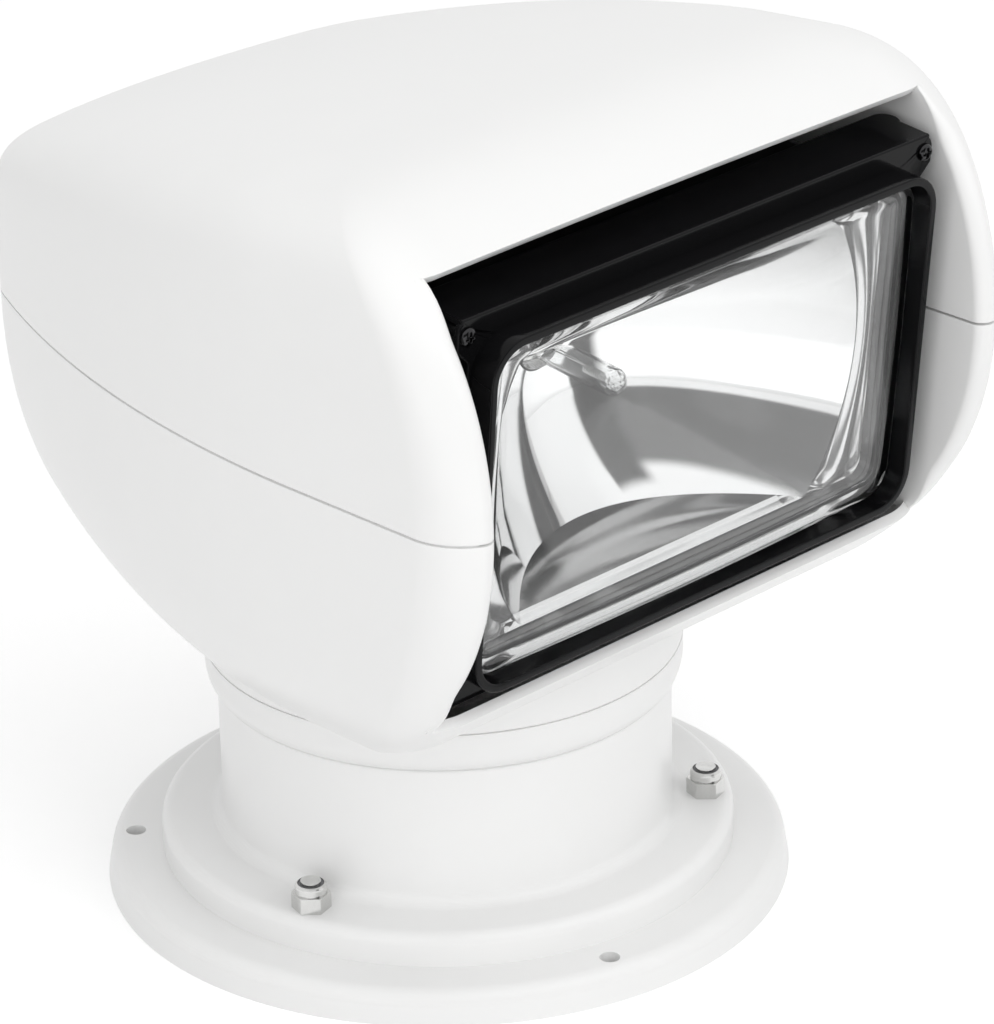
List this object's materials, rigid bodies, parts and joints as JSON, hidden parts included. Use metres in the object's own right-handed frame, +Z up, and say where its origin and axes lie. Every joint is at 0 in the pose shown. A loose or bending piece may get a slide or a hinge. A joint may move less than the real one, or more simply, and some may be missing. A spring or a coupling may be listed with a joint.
{
  "type": "marine searchlight",
  "caption": "Round-based remote searchlight for a boat: a panning white two-part head with a tilting rectangular lamp in its front opening, on a bolted pedestal.",
  "frame": {"origin": "centre of the deck screw circle on the mounting plate's underside", "axes": "+Z up along the pan axis, -Y to the front where the lamp looks, +X to the light's left"},
  "size_m": [0.224, 0.2488, 0.2575],
  "materials": {
    "white_plastic": "satin-gloss white",
    "stainless": "bright stainless",
    "seal_rubber": "matt rubber",
    "nylon": "natural nylon",
    "zinc_steel": "zinc plated sheet",
    "motor_can": "plated can",
    "brass": "machined",
    "black_gloss": "gloss black",
    "lens_glass": "clear pressed glass",
    "mirror": "aluminised",
    "bulb_glass": "clear",
    "plated": "nickel plated"
  },
  "bodies": {
    "base": {"mounting_plate": "white_plastic", "foot_seal": "seal_rubber", "base_bolts": "stainless", "stud_nuts": "stainless", "nut_rings": "nylon", "pedestal": "white_plastic", "cable_grommet": "seal_rubber", "pan_bush": "nylon", "motor_plate": "zinc_steel", "plate_screws": "stainless", "pan_motor": "motor_can", "motor_screws": "stainless"},
    "pan_drive": {"pan_pinion": "brass"},
    "head": {"turntable": "white_plastic", "pan_gear": "nylon", "thrust_washer": "stainless", "spindle_nut": "stainless", "lower_shell": "white_plastic", "turntable_screws": "stainless", "shell_seal": "seal_rubber", "upper_shell": "white_plastic", "shell_screws": "stainless", "pivot_bushes": "nylon", "tilt_bracket": "zinc_steel", "bracket_screws": "stainless", "tilt_motor": "motor_can"},
    "tilt_drive": {"tilt_pinion": "brass"},
    "lamp": {"lamp_frame": "black_gloss", "bezel": "black_gloss", "lens_seal": "seal_rubber", "lens": "lens_glass", "reflector": "mirror", "bulb": "bulb_glass", "bulb_base": "plated", "bulb_holder": "black_gloss", "terminals": "plated", "lamp_can": "black_gloss", "frame_screws": "stainless", "pivot_pins": "stainless", "tilt_sector": "nylon"}
  },
  "joints": [
    {"name": "pan", "type": "hinge", "parent": "base", "child": "head", "pos_m": [0, 0, 0.064], "axis": [0, 0, 1], "range_deg": [-170, 170]},
    {"name": "tilt", "type": "hinge", "parent": "head", "child": "lamp", "pos_m": [0, -0.065, 0.1767], "axis": [-1, 0, 0], "range_deg": [-15, 35]},
    {"name": "pan_pinion_spin", "type": "hinge", "parent": "base", "child": "pan_drive", "pos_m": [0, 0.0405, 0.04], "axis": [0, 0, 1], "range_deg": [-445, 445]},
    {"name": "tilt_pinion_spin", "type": "hinge", "parent": "head", "child": "tilt_drive", "pos_m": [0.085, 0.00195, 0.15233], "axis": [-1, 0, 0], "range_deg": [-190, 85]}
  ],
  "couplings": [
    {"joint": "pan_pinion_spin", "follows": "pan", "ratio": -2.6},
    {"joint": "tilt_pinion_spin", "follows": "tilt", "ratio": -5.3333}
  ]
}
